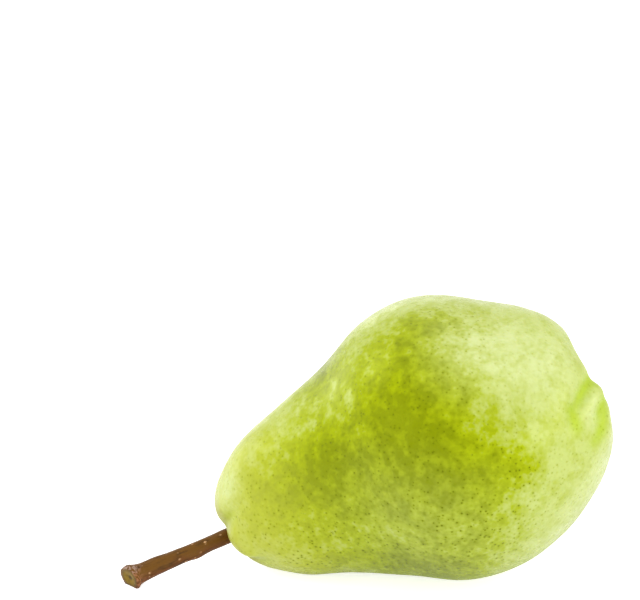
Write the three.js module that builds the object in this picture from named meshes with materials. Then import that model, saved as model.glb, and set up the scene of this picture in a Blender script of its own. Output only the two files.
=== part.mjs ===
// A green pear, ripe and uncut, lying on its side with its stalk and dried calyx.
//
// Row frame, millimetres, +Z up: the pear lies on the ground plane z = 0 with its length along X,
// the calyx end towards +X and the stalk towards -X. The origin is the middle of the small flat
// place where the belly rests. Three low points carry it: the belly, the neck and the stalk's tip.
//
// The fruit is shaped in its own growing frame and then laid down. A point of that frame is
// (side, along, up): `along` runs from the calyx rim to the stalk, and side and up span the round
// section. Round the axis, `turn` is 0 degrees at the top of the lying pear, 90 on its far side and
// -90 on its near side.
import * as THREE from "three";
import { mergeVertices } from "three/addons/utils/BufferGeometryUtils.js";

// ---- Driving dimensions ----
const LEAN = 26.5; // degrees the axis dips towards the stalk when the pear lies down
const CALYX_AXIS_X = 31.8; // where the calyx end of the axis stands over the ground
const CALYX_AXIS_Z = 53.3;
const CALYX_FACE_TURN = 9.5; // degrees the calyx face looks away towards the far side
const STALK_FACE_TILT = 6.5; // degrees the stalk face leans forward at its top
const CALYX_FACE_END = 34; // along: the calyx face's turn has faded out here
const STALK_FACE_START = 78; // along: the stalk face's tilt begins here
const STALK_FACE_END = 102;

// The fruit's outline from the bottom of the calyx basin over the belly and neck to the mouth of
// the stalk's hole, as [along, out].
const SKIN_LINE = [
  [6.4, 0], // floor of the calyx basin
  [6.2, 3.2],
  [3.6, 7.2],
  [0.5, 12.3],
  [1.4, 16.1], // rim round the basin
  [4.6, 21],
  [10.5, 26.4],
  [23, 33.9],
  [34.9, 37.2], // widest place of the belly
  [48, 35.8],
  [61, 29.45],
  [74.9, 23.9], // neck
  [86.3, 20],
  [94.1, 15.2],
  [98.3, 11.1],
  [100, 7.8], // rim round the stalk
  [98, 5.4],
  [95.6, 3.6],
  [93.2, 2.5],
];
const HOLE_RADIUS = 2.5; // plain hole that takes the stalk
const HOLE_FLOOR = 89.5;

// Slow bends of the axis: the belly hangs a little and the neck arches up.
const BENDS = [
  { along: 17, reach: 13, lift: -1.1 },
  { along: 77, reach: 14, lift: 1.7 },
];

// Round swellings (and one hollow) of the skin: where, how far they spread, how high they stand.
const LUMPS = [
  { along: 2, out: 17, turn: -42, reach: 9, height: 0.6 }, // lobes round the calyx
  { along: 1.4, out: 15, turn: -59, reach: 4.5, height: 0.3 },
  { along: 2.2, out: 13.6, turn: -86, reach: 5, height: 3 },
  { along: 3, out: 18.5, turn: -112, reach: 5.5, height: 1.6 },
  { along: 0.8, out: 15.5, turn: -150, reach: 7, height: 0.4 },
  { along: 1, out: 16, turn: 150, reach: 9, height: 0.9 },
  { along: 2, out: 17, turn: 48, reach: 10, height: 0.9 },
  { along: 2.5, out: 17.5, turn: -5, reach: 8, height: 1.2 },
  { along: 96, out: 11.5, turn: -5, reach: 9, height: 0.65 }, // lobes round the stalk
  { along: 96.5, out: 12.3, turn: -86, reach: 4.5, height: 1.2 },
  { along: 95, out: 12.5, turn: 110, reach: 9, height: 0.8 },
  { along: 91, out: 17, turn: 180, reach: 13, height: -2 }, // the chin under the stalk
  { along: 86, out: 19.5, turn: -13, reach: 9, height: 1.8 }, // shoulder of the neck
  { along: 14, out: 30, turn: -60, reach: 13, height: 0.4 }, // faint unevenness of the belly
  { along: 45, out: 36.5, turn: -20, reach: 14, height: 0.3 },
  { along: 38, out: 36, turn: 120, reach: 16, height: 0.5 },
];

// Creases of the skin, each along a path of [along, out, turn] points. A crease is deepest where
// its path starts, at the calyx or the stalk, and fades out towards the end of it.
const FOLDS = [
  {
    depth: 1.1,
    width: 2.2,
    path: [
      [2.6, 9, -68],
      [0.5, 12.3, -69],
      [1.4, 16.1, -70],
      [2.9, 18.7, -73],
      [4.4, 20.8, -76],
      [6.3, 22.8, -79],
      [8.2, 24.7, -83],
      [9.6, 25.7, -89],
      [11.4, 27, -95],
    ],
  },
  {
    depth: 0.9,
    width: 2.2,
    path: [
      [2.6, 9, -89],
      [0.6, 12.3, -90],
      [1.2, 15.6, -91],
      [2.4, 17.8, -94],
      [3.8, 20, -99],
      [5.4, 22, -103],
      [7.4, 24, -107],
    ],
  },
  { depth: 0.8, width: 3, path: [[2.6, 9, 178], [0.4, 12.5, 178], [1.6, 17.5, 180], [5, 22.5, 182]] },
  { depth: 1.2, width: 3.2, path: [[2.6, 9, 103], [0.3, 13.5, 102], [2.4, 19.5, 100], [12, 28.5, 97]] },
  { depth: 0.7, width: 3, path: [[2.6, 9, 22], [0.5, 13.5, 22], [2.6, 19.5, 24], [7, 24.5, 25]] },
  { depth: 1, width: 2.2, path: [[98.8, 5, -50], [98.8, 10, -50], [94.5, 15, -50], [88, 19, -48]] },
  { depth: 1, width: 2.2, path: [[98.8, 6, -110], [97.5, 11.5, -110], [93.5, 15.8, -106], [89, 18.6, -102]] },
];
const FOLD_FADES_FROM = 0.42; // share of the path

// Swellings push the skin away from this stretch of the axis.
const CORE_START = 25;
const CORE_END = 85;

// Stalk: its middle line in the growing frame, as [side, along, up], and its radius as
// [share of the length, radius].
const STALK_LINE = [
  [0, 90, 0.7],
  [-0.1, 94, 0.3],
  [-1.7, 99, 0.4],
  [-7.2, 111.5, 3.2],
  [-14.4, 128, 6.8],
];
const STALK_RADIUS = [
  [0, 1.9],
  [0.3, 1.9],
  [0.55, 2],
  [0.75, 2.15],
  [0.88, 2.45],
  [0.96, 2.9],
  [1, 2.75],
];
const STALK_KNOBS = [
  { at: 0.52, turn: 185, reach: 2.2, height: 0.45 }, // a bud scar on the underside
  { at: 0.3, turn: 10, reach: 3, height: 0.25 },
  { at: 0.78, turn: 20, reach: 3, height: 0.3 },
  { at: 0.99, turn: 180, reach: 1.9, height: 0.5 }, // the lip the broken end stands on
  { at: 0.98, turn: 10, reach: 2.4, height: 0.35 },
];
const STALK_END_DISH = 0.5; // how far the middle of the broken end is sunk

// Calyx: a short cup with five dried sepals on its rim, seated in the basin with a small gap.
const SEPALS = 5;
const CALYX_SEAT = 5.9; // along: underside of the cup
const CUP_FLOOR = 0.9; // thickness of the cup's floor
const CUP_RADIUS = 2.9; // outside of the cup
const CUP_HEIGHT = 1.6; // height of the wall between two sepals
const SEPAL_LENGTH = 4.6; // from the cup's wall to a sepal's point
const SEPAL_THICKNESS = 0.65;
const SEPAL_CURL = 62; // degrees a sepal has turned outwards at its point
const SEPAL_UNEVEN = 0.18; // how much the five lengths differ
const STYLE_RADIUS = 0.9; // stump of the flower's styles in the middle of the cup
const STYLE_HEIGHT = 1.7;

// ---- Fineness of the faceted solids ----
const FRUIT_COLUMNS = 68;
const FRUIT_ROWS = 54;
const STALK_COLUMNS = 18;
const STALK_ROWS = 30;
const CALYX_COLUMNS = 60;
const SEPAL_ROWS = 7;

const smooth = (x, from, to) => THREE.MathUtils.smoothstep(x, from, to);
const radians = THREE.MathUtils.degToRad;

// A point of the growing frame from its distance along, its distance out and its turn.
function placed(along, out, turn) {
  const angle = radians(turn);
  return new THREE.Vector3(out * Math.sin(angle), along, out * Math.cos(angle));
}

const bell = (distance, reach) => Math.exp(-((distance / reach) ** 2));

const lumps = LUMPS.map((lump) => ({ ...lump, centre: placed(lump.along, lump.out, lump.turn) }));
const folds = FOLDS.map(({ depth, width, path }) => {
  const points = path.map((place) => placed(...place));
  const lines = points.slice(1).map((point, i) => new THREE.Line3(points[i], point));
  return { depth, width, lines };
});

// How much a crease takes away at a point of the smooth fruit.
function foldDepth(point, { depth, width, lines }) {
  const nearest = new THREE.Vector3();
  let distance = Infinity;
  let share = 0;
  lines.forEach((line, i) => {
    const onLine = line.closestPointToPointParameter(point, true);
    const away = line.at(onLine, nearest).distanceTo(point);
    if (away < distance) {
      distance = away;
      share = (i + onLine) / lines.length;
    }
  });
  return depth * (1 - smooth(share, FOLD_FADES_FROM, 1)) * bell(distance, width);
}

// How far the skin stands out at a point of the smooth fruit.
function relief(point) {
  let height = 0;
  for (const lump of lumps) {
    height += lump.height * bell(point.distanceTo(lump.centre), lump.reach);
  }
  for (const fold of folds) {
    height -= foldDepth(point, fold);
  }
  return height;
}

function swell(point) {
  const core = new THREE.Vector3(0, THREE.MathUtils.clamp(point.y, CORE_START, CORE_END), 0);
  const outwards = point.clone().sub(core).normalize();
  return point.addScaledVector(outwards, relief(point));
}

// Turns the calyx face, leans the stalk face and bends the axis.
const calyxSlope = Math.tan(radians(CALYX_FACE_TURN));
const stalkSlope = Math.tan(radians(STALK_FACE_TILT));

function grow(point) {
  const along = point.y;
  const calyxShare = 1 - smooth(along, 0, CALYX_FACE_END);
  const stalkShare = smooth(along, STALK_FACE_START, STALK_FACE_END);
  point.y += point.x * calyxSlope * calyxShare + point.z * stalkSlope * stalkShare;
  for (const bend of BENDS) {
    point.z += bend.lift * bell(along - bend.along, bend.reach);
  }
  return point;
}

// Lays the growing frame down: its own Y becomes the dipping axis and its own X the far side.
const lean = radians(LEAN);
const layDown = new THREE.Matrix4()
  .makeBasis(
    new THREE.Vector3(0, 1, 0),
    new THREE.Vector3(-Math.cos(lean), 0, -Math.sin(lean)),
    new THREE.Vector3(-Math.sin(lean), 0, Math.cos(lean)),
  )
  .setPosition(CALYX_AXIS_X, 0, CALYX_AXIS_Z);

// Moves every vertex of a geometry and leaves a closed mesh with shared vertices.
function reshape(geometry, move) {
  const positions = geometry.attributes.position;
  const point = new THREE.Vector3();
  for (let i = 0; i < positions.count; i += 1) {
    move(point.fromBufferAttribute(positions, i));
    positions.setXYZ(i, point.x, point.y, point.z);
  }
  geometry.deleteAttribute("normal");
  geometry.deleteAttribute("uv");
  return mergeVertices(geometry, 1e-3);
}

function finished(name, geometry, colour, roughness) {
  geometry.computeVertexNormals();
  const material = new THREE.MeshStandardMaterial({ color: colour, roughness, metalness: 0 });
  const mesh = new THREE.Mesh(geometry, material);
  mesh.name = name;
  return mesh;
}

// ---- Fruit ----
// One grown piece. The ground presses its skin flat where it would dip below z = 0.
function makeFruit() {
  const line = new THREE.SplineCurve(SKIN_LINE.map(([along, out]) => new THREE.Vector2(out, along)));
  const outline = line.getPoints(FRUIT_ROWS);
  outline.push(new THREE.Vector2(HOLE_RADIUS, HOLE_FLOOR), new THREE.Vector2(0, HOLE_FLOOR));
  const body = new THREE.LatheGeometry(outline, FRUIT_COLUMNS);
  const shaped = reshape(body, (point) => {
    grow(swell(point)).applyMatrix4(layDown);
    point.z = Math.max(point.z, 0);
  });
  return finished("fruit", shaped, 0xb4c83c, 0.42);
}

// ---- Stalk ----
// A lathe of its radii bent along its middle line, with knobs and a slightly dished broken end.
function makeStalk() {
  const middle = new THREE.CatmullRomCurve3(STALK_LINE.map((place) => new THREE.Vector3(...place)));
  const length = middle.getLength();
  const radiusPoints = STALK_RADIUS.map(([at, radius]) => new THREE.Vector2(radius, at * length));
  const radii = new THREE.SplineCurve(radiusPoints);
  const outline = [new THREE.Vector2(0, 0), ...radii.getPoints(STALK_ROWS)];
  outline.push(new THREE.Vector2(1.9, length + 0.1), new THREE.Vector2(0, length - STALK_END_DISH));
  const rod = new THREE.LatheGeometry(outline, STALK_COLUMNS);
  const knobs = STALK_KNOBS.map((knob) => ({ ...knob, centre: placed(knob.at * length, 2, knob.turn) }));
  const top = new THREE.Vector3(0, 0, 1);
  const shaped = reshape(rod, (point) => {
    const out = new THREE.Vector3(point.x, 0, point.z);
    let swelling = 0;
    for (const knob of knobs) {
      swelling += knob.height * bell(point.distanceTo(knob.centre), knob.reach);
    }
    point.addScaledVector(out, swelling / 2);
    const share = THREE.MathUtils.clamp(point.y / length, 0, 1);
    const beyond = point.y - share * length;
    const forward = middle.getTangentAt(share);
    const sideways = new THREE.Vector3().crossVectors(forward, top).normalize();
    const upwards = new THREE.Vector3().crossVectors(sideways, forward);
    const { x, z } = point;
    point.copy(middle.getPointAt(share));
    point.addScaledVector(forward, beyond).addScaledVector(sideways, x).addScaledVector(upwards, z);
    point.applyMatrix4(layDown);
    point.z = Math.max(point.z, 0);
  });
  return finished("stem", shaped, 0x7a4a1e, 0.7);
}

// ---- Calyx ----
// A lathe cup whose wall is drawn out into five pointed sepals that curl outwards.
function makeCalyx() {
  const wallRows = Array.from({ length: SEPAL_ROWS + 1 }, (_, i) => i / SEPAL_ROWS);
  const inside = CUP_RADIUS - SEPAL_THICKNESS;
  // The second coordinate is a share of the wall (over 1 on the inside) until it is bent below.
  const outline = [
    new THREE.Vector2(0, 0),
    new THREE.Vector2(CUP_RADIUS * 0.7, 0),
    ...wallRows.map((share) => new THREE.Vector2(CUP_RADIUS, share)),
    ...wallRows.toReversed().map((share) => new THREE.Vector2(inside, share)),
    new THREE.Vector2(STYLE_RADIUS, 0),
    new THREE.Vector2(STYLE_RADIUS * 0.8, 0),
    new THREE.Vector2(0, 0),
  ];
  const wallStart = 2;
  const wallEnd = wallStart + wallRows.length;
  const innerEnd = wallEnd + wallRows.length;
  // The cup opens away from the stalk, so its outline is turned the other way round.
  const cup = new THREE.LatheGeometry(outline.toReversed(), CALYX_COLUMNS);
  const rows = outline.length;
  let index = 0;
  const shaped = reshape(cup, (point) => {
    const row = rows - 1 - (index % rows);
    index += 1;
    const turn = Math.atan2(point.x, point.z);
    const place = THREE.MathUtils.euclideanModulo((turn / (2 * Math.PI)) * SEPALS, SEPALS);
    const fromSepal = Math.abs((place % 1) - 0.5) * 2;
    const which = Math.floor(place);
    const uneven = 1 + SEPAL_UNEVEN * Math.sin(which * 2.4 + 0.7);
    const reach = SEPAL_LENGTH * uneven * (1 - fromSepal) ** 1.15;
    let out = Math.hypot(point.x, point.z);
    let above = 0;
    if (row >= wallStart && row < innerEnd) {
      const outer = row < wallEnd;
      const share = outer ? wallRows[row - wallStart] : wallRows[innerEnd - 1 - row];
      const travel = THREE.MathUtils.lerp(outer ? 0 : CUP_FLOOR, CUP_HEIGHT + reach, share);
      const beyond = Math.max(travel - CUP_HEIGHT, 0);
      const curl = radians(SEPAL_CURL) / SEPAL_LENGTH;
      const bent = beyond * curl;
      const offset = outer ? SEPAL_THICKNESS : 0;
      out = inside + (1 - Math.cos(bent)) / curl + offset * Math.cos(bent);
      above = Math.min(travel, CUP_HEIGHT) + Math.sin(bent) / curl - offset * Math.sin(bent);
    } else if (row >= innerEnd) {
      above = row === innerEnd ? CUP_FLOOR : STYLE_HEIGHT;
    }
    point.set(out * Math.sin(turn), CALYX_SEAT - above, out * Math.cos(turn));
    grow(point).applyMatrix4(layDown);
  });
  return finished("calyx", shaped, 0x4a3824, 0.9);
}

const pear = new THREE.Group();
pear.name = "pear";
pear.add(makeFruit(), makeStalk(), makeCalyx());

export default pear;
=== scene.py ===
# %% [markdown]
# # A green pear on its side
#
# The real object is a fresh pear: one grown body of flesh under a waxy skin, a woody stem, and the
# dried calyx of the flower at the other end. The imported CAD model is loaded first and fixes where
# everything is. Each of its three plain solids is then replaced by a finer piece of the same form.

import math

import bmesh
import bpy
from mathutils import Matrix, Vector, noise


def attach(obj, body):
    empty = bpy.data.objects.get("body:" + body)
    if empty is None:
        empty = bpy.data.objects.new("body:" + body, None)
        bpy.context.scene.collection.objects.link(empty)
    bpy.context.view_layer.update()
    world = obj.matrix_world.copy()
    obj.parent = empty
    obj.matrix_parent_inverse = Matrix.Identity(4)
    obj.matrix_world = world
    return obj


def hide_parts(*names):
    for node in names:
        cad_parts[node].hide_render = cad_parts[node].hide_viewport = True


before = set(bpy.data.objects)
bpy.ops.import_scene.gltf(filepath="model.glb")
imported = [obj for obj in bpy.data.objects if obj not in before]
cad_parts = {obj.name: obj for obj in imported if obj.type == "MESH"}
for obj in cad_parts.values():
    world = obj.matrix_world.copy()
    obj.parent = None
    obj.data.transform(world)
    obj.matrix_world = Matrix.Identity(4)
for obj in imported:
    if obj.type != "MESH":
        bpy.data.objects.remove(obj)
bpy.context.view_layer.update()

# %% [markdown]
# ## Where a point of the pear is
#
# A pear is easiest to shape the way it grew, round one straight axis, and to lay down afterwards.
# In that growing frame X is the pear's side, Y runs along the axis from the calyx rim to the stem,
# and Z points to what will be the top. Round the axis, `turn` is 0 degrees at the top, 90 on the
# far side and -90 on the near side. The lengths in these tables are millimetres, because a pear's
# measures are easier to grasp that way, and `MM` turns them into Blender's metres at the very end.

# %% The growing frame
MM = 0.001
LEAN = math.radians(26.5)
CALYX_AXIS = Vector((31.8, 0.0, 53.3))


def placed(along, out, turn):
    """The point so far along the axis and so far out from it, at that turn round it."""
    angle = math.radians(turn)
    return Vector((out * math.sin(angle), along, out * math.cos(angle)))


def smooth(x, start, end):
    """0 before start, 1 after end and a soft step between them."""
    share = min(max((x - start) / (end - start), 0.0), 1.0)
    return share * share * (3.0 - 2.0 * share)


def bell(distance, reach):
    return math.exp(-((distance / reach) ** 2))


def bells(point, places):
    """What soft bells, each a (centre, reach, height), add up to at a point."""
    return sum(height * bell((point - centre).length, reach) for centre, reach, height in places)


def as_bells(table):
    """Turns rows of (along, out, turn, reach, height) into bells with a centre."""
    return [(placed(*place), reach, height) for *place, reach, height in table]


lay_down = Matrix.Translation(CALYX_AXIS) @ Matrix(
    (
        (0.0, -math.cos(LEAN), -math.sin(LEAN), 0.0),
        (1.0, 0.0, 0.0, 0.0),
        (0.0, -math.sin(LEAN), math.cos(LEAN), 0.0),
        (0.0, 0.0, 0.0, 1.0),
    )
)
print("the axis dips", round(math.degrees(LEAN), 1), "degrees towards the stem")

# %% [markdown]
# ## The outline, the lobes and the creases
#
# One smooth outline turned round the axis gives a pear out of a textbook. What makes it a grown
# fruit are the lobes round the calyx and the stem, a few creases between them, faint flats on the
# belly and a slow bend of the whole axis. Sculpting by hand would also work, but swellings and
# creases with a place, a reach and a height can be named, kept and changed one at a time.

# %% The outline from the calyx basin to the stem's hole
SKIN_LINE = [
    (6.4, 0.0),
    (6.2, 3.2),
    (3.6, 7.2),
    (0.5, 12.3),
    (1.4, 16.1),
    (4.6, 21.0),
    (10.5, 26.4),
    (23.0, 33.9),
    (34.9, 37.2),
    (48.0, 35.8),
    (61.0, 29.45),
    (74.9, 23.9),
    (86.3, 20.0),
    (94.1, 15.2),
    (98.3, 11.1),
    (100.0, 7.8),
    (98.0, 5.4),
    (95.6, 3.6),
    (93.2, 2.5),
]
HOLE_RADIUS = 2.5
HOLE_FLOOR = 89.5


def spline(points, share):
    """A smooth line through points, as a uniform Catmull-Rom curve."""
    place = share * (len(points) - 1)
    i = min(int(place), len(points) - 2)
    t = place - i
    around = [points[min(max(i + k, 0), len(points) - 1)] for k in (-1, 0, 1, 2)]
    before, start, end, after = map(Vector, around)
    leave, arrive = (end - before) / 2, (after - start) / 2
    return (
        start
        + leave * t
        + (3 * (end - start) - 2 * leave - arrive) * t**2
        + (2 * (start - end) + leave + arrive) * t**3
    )


belly_radius = max(out for _, out in SKIN_LINE)
print("outline:", len(SKIN_LINE), "points, belly", 2 * belly_radius, "mm across")

# %% Lobes, hollows and creases
LUMPS = [
    # along, out, turn, reach, height
    (2.0, 17.0, -42, 9.0, 0.6),
    (1.4, 15.0, -59, 4.5, 0.3),
    (2.2, 13.6, -86, 5.0, 3.0),
    (3.0, 18.5, -112, 5.5, 1.6),
    (0.8, 15.5, -150, 7.0, 0.4),
    (1.0, 16.0, 150, 9.0, 0.9),
    (2.0, 17.0, 48, 10.0, 0.9),
    (2.5, 17.5, -5, 8.0, 1.2),
    (96.0, 11.5, -5, 9.0, 0.65),
    (96.5, 12.3, -86, 4.5, 1.2),
    (95.0, 12.5, 110, 9.0, 0.8),
    (91.0, 17.0, 180, 13.0, -2.0),
    (86.0, 19.5, -13, 9.0, 1.8),
    (14.0, 30.0, -60, 13.0, 0.4),
    (45.0, 36.5, -20, 14.0, 0.3),
    (38.0, 36.0, 120, 16.0, 0.5),
]
NOTCH_PATH = [
    (2.6, 9.0, -68),
    (0.5, 12.3, -69),
    (1.4, 16.1, -70),
    (2.9, 18.7, -73),
    (4.4, 20.8, -76),
    (6.3, 22.8, -79),
    (8.2, 24.7, -83),
    (9.6, 25.7, -89),
    (11.4, 27.0, -95),
]
SECOND_PATH = [
    (2.6, 9.0, -89),
    (0.6, 12.3, -90),
    (1.2, 15.6, -91),
    (2.4, 17.8, -94),
    (3.8, 20.0, -99),
    (5.4, 22.0, -103),
    (7.4, 24.0, -107),
]
FOLDS = [
    # depth, width, path of (along, out, turn) from the calyx or stem outwards
    (1.1, 2.2, NOTCH_PATH),
    (0.9, 2.2, SECOND_PATH),
    (0.8, 3.0, [(2.6, 9.0, 178), (0.4, 12.5, 178), (1.6, 17.5, 180), (5.0, 22.5, 182)]),
    (1.2, 3.2, [(2.6, 9.0, 103), (0.3, 13.5, 102), (2.4, 19.5, 100), (12.0, 28.5, 97)]),
    (0.7, 3.0, [(2.6, 9.0, 22), (0.5, 13.5, 22), (2.6, 19.5, 24), (7.0, 24.5, 25)]),
    (1.0, 2.2, [(98.8, 5.0, -50), (98.8, 10.0, -50), (94.5, 15.0, -50), (88.0, 19.0, -48)]),
    (1.0, 2.2, [(98.8, 6.0, -110), (97.5, 11.5, -110), (93.5, 15.8, -106), (89.0, 18.6, -102)]),
]
FOLD_FADES_FROM = 0.42
CORE_START, CORE_END = 25.0, 85.0
CALYX_FACE_TURN, CALYX_FACE_END = math.radians(9.5), 34.0
STALK_FACE_TILT, STALK_FACE_START, STALK_FACE_END = math.radians(6.5), 78.0, 102.0
BENDS = [(17.0, 13.0, -1.1), (77.0, 14.0, 1.7)]

lumps = as_bells(LUMPS)
folds = [(depth, width, [placed(*place) for place in path]) for depth, width, path in FOLDS]


def fold_depth(point, depth, width, path):
    """What a crease takes away: it is deepest where its path starts and fades out at the end."""
    distance, share = math.inf, 0.0
    for i, (start, end) in enumerate(zip(path, path[1:])):
        step = end - start
        on_line = min(max((point - start).dot(step) / step.length_squared, 0.0), 1.0)
        away = (point - start - step * on_line).length
        if away < distance:
            distance, share = away, (i + on_line) / (len(path) - 1)
    return depth * (1.0 - smooth(share, FOLD_FADES_FROM, 1.0)) * bell(distance, width)


def relief(point):
    """How far the skin stands out from the plain lathe shape."""
    return bells(point, lumps) - sum(fold_depth(point, *fold) for fold in folds)


def swell(point, extra=0.0):
    """Moves a point of the lathe shape outwards by the relief there."""
    core = Vector((0.0, min(max(point.y, CORE_START), CORE_END), 0.0))
    return point + (point - core).normalized() * (relief(point) + extra)


def grow(point):
    """Sets the calyx and the stem end askew and bends the axis."""
    calyx_share = 1.0 - smooth(point.y, 0.0, CALYX_FACE_END)
    stalk_share = smooth(point.y, STALK_FACE_START, STALK_FACE_END)
    sheared = point.x * math.tan(CALYX_FACE_TURN) * calyx_share
    sheared += point.z * math.tan(STALK_FACE_TILT) * stalk_share
    lift = sum(rise * bell(point.y - along, reach) for along, reach, rise in BENDS)
    return Vector((point.x, point.y + sheared, point.z + lift))


def laid(point):
    """Lays a point down and keeps it above the ground, in metres."""
    low = lay_down @ point
    return Vector((low.x, low.y, max(low.z, 0.0))) * MM


print(len(lumps), "swellings and", len(folds), "creases")

# %% [markdown]
# ## Turning an outline into a closed body
#
# A lathe shape is quickest with `bmesh.ops.spin`: the outline is a chain of vertices, and a full
# turn with `use_merge` closes it onto itself. The ends sit on the axis, where every copy of an end
# vertex falls on one spot, so doubles are removed before the normals are recalculated.


# %% A helper that spins an outline
MERGE_WITHIN = 1e-4


def spun(outline, columns):
    """A bmesh of the outline's (out, along) points turned once round the Y axis."""
    body = bmesh.new()
    chain = [body.verts.new((0.0, along, out)) for out, along in outline]
    edges = [body.edges.new(pair) for pair in zip(chain, chain[1:])]
    bmesh.ops.spin(
        body,
        geom=chain + edges,
        cent=(0.0, 0.0, 0.0),
        axis=(0.0, 1.0, 0.0),
        angle=math.tau,
        steps=columns,
        use_merge=True,
    )
    bmesh.ops.remove_doubles(body, verts=body.verts, dist=MERGE_WITHIN)
    bmesh.ops.recalc_face_normals(body, faces=body.faces)
    return body


def finish_piece(name, body, node, notes=()):
    """Makes an object of a bmesh, with a vector attribute for each list of notes per vertex."""
    mesh = bpy.data.meshes.new(name)
    body.to_mesh(mesh)
    body.free()
    mesh.shade_smooth()
    for title, values in notes:
        attribute = mesh.attributes.new(title, "FLOAT_VECTOR", "POINT")
        attribute.data.foreach_set("vector", [c for value in values for c in value])
    piece = bpy.data.objects.new(name, mesh)
    bpy.context.scene.collection.objects.link(piece)
    if node:
        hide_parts(node)
    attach(piece, "root")
    print(name, len(mesh.vertices), "vertices,", len(mesh.polygons), "faces")
    return piece


trial = spun([(0.0, 0.0), (1.0, 0.0), (1.0, 1.0), (0.0, 1.0)], 6)
print("a trial drum of 6 columns is closed:", all(edge.is_manifold for edge in trial.edges))
trial.free()

# %% [markdown]
# ## The fruit
#
# The fine body is the same lathe and the same swellings as the CAD solid, with ten rows between two
# points of the outline, so its creases stay soft. On top of them go a few small bumps on the lip at
# the stem and an unevenness of a tenth of a millimetre, as skin over flesh has, which keeps
# highlights from looking machined. A subdivision surface would also be fine enough, but it would
# round the creases off. Each vertex also remembers where it was in the growing frame, so colours
# can follow the pear's own length.

# %% The rows of the fruit
FRUIT_COLUMNS = 204
ROWS_PER_SPAN = 10

rows = ROWS_PER_SPAN * (len(SKIN_LINE) - 1)
skin_outline = [spline(SKIN_LINE, row / rows) for row in range(rows + 1)]
print("fruit:", FRUIT_COLUMNS, "columns,", rows, "rows")

# %% [markdown]
# ## Green clouds, pale ridges and lime creases
#
# The skin is deep green in some patches and paler in others, and a clear lime green in the creases.
# The deep green patches on the near side and underneath are partly painted shade, the pale patches
# are partly a painted sheen, and the lime of the creases partly paints the shade in them. A texture
# painter would brush these zones by hand. Noise alone would put them anywhere. Here each zone is a
# soft patch with a place on the growing fruit, a reach and a strength, so it can be named, moved
# and weighed like the swellings. The three strengths are stored with every vertex, and the material
# reads them as one attribute.

# %% Where the skin is greener or paler
GREEN_AND_SHADE_TONES = [
    # along, turn, reach, how much deeper the green is, which on the near side and underneath is
    # partly painted shade
    (42, -60, 14, 0.88),
    (32, -46, 12, 0.45),
    (36, -88, 13, 0.5),
    (52, -42, 12, 0.14),
    (65, -54, 12, 0.62),
    (80, -56, 13, 0.5),
    (58, -124, 11, 0.86),
    (48, -130, 10, 0.48),
    (45, -110, 11, 0.36),
    (34, -18, 10, 0.54),
    (59, 4, 11, 0.84),
    (64, -84, 12, 0.36),
    (77, -120, 12, 0.43),
    (50, -84, 10, 0.3),
    (26, -82, 9, 0.3),
    (58, -53, 8, 0.19),
    (45, -28, 8, 0.18),
    (88, -60, 9, 0.28),
    (36, -118, 10, 0.16),
    (50, -20, 9, 0.15),
    (20, -10, 10, 0.3),
    (44, 62, 15, 0.7),
    (30, 88, 12, 0.5),
    (58, 92, 13, 0.6),
    (76, 118, 11, 0.5),
    (36, 140, 14, 0.6),
    (54, 165, 12, 0.7),
    (22, 172, 12, 0.4),
    (82, 48, 10, 0.35),
    (14, 40, 10, 0.3),
]
LEAST_GREEN = 0.06
CREASE_COLOUR_WIDTH = 1.9
NOTCH_TRAIL = [
    (7.4, 23.9, -79),
    (7.9, 24.4, -84),
    (8.1, 24.6, -88),
    (8.0, 24.4, -93),
    (7.4, 23.9, -98),
]
SECOND_TRAIL = [
    (1.7, 16.8, -97),
    (3.6, 19.8, -103),
    (5.2, 21.6, -105),
    (7.4, 23.9, -105),
    (10.4, 26.2, -104),
]
LIME_AND_SHADE_TRAILS = [
    # strength, path of (along, out, turn) on which a crease's colour, partly painted shade, runs on
    # past its form
    (0.95, NOTCH_TRAIL),
    (0.9, SECOND_TRAIL),
]
ROWS_TO_RIM = 45
HOLLOW_EDGE = 7.5
PALE_AND_SHEEN_PATCHES = [
    # along, turn, reach, how much paler, partly paler skin and partly a painted sheen
    (2.0, -82, 3.2, 1.0),
    (4.2, -93, 2.8, 1.0),
    (9.0, -44, 11.0, 1.0),
    (18.0, -30, 10.0, 1.0),
    (9.0, -135, 8.0, 1.0),
    (22.0, -140, 9.0, 1.0),
    (93.0, -25, 5.0, 1.0),
    (55.0, -92, 16.0, 0.2),
    (38.0, -108, 14.0, 0.18),
    (30.0, 30, 13.0, 0.8),
    (8.0, 110, 10.0, 0.8),
]


def skin_radius(along):
    """How far out the outline is there, past the calyx rim and before the stem's hollow."""
    outer = [place for place in skin_outline[ROWS_TO_RIM:] if place[1] > HOLLOW_EDGE]
    return min(outer, key=lambda place: abs(place[0] - along))[1]


def patches_on_skin(table):
    """Turns rows of (along, turn, reach, amount) into bells with a centre on the skin."""
    centres = [placed(along, skin_radius(along), turn) for along, turn, _, _ in table]
    return [(centre, reach, amount) for centre, (_, _, reach, amount) in zip(centres, table)]


green_and_shade_patches = patches_on_skin(GREEN_AND_SHADE_TONES)
pale_and_sheen_patches = patches_on_skin(PALE_AND_SHEEN_PATCHES)
lime_and_shade_paths = [(1.0, path) for _, _, path in folds]
lime_and_shade_paths += [(strength, [placed(*place) for place in path]) for strength, path in LIME_AND_SHADE_TRAILS]
print(len(green_and_shade_patches), "green patches and", len(pale_and_sheen_patches), "pale ones")


# %% The tone of one point
def creasedness(point):
    """1 in the middle of a crease, 0 away from all of them."""
    return max(fold_depth(point, most, CREASE_COLOUR_WIDTH, path) for most, path in lime_and_shade_paths)


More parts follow.
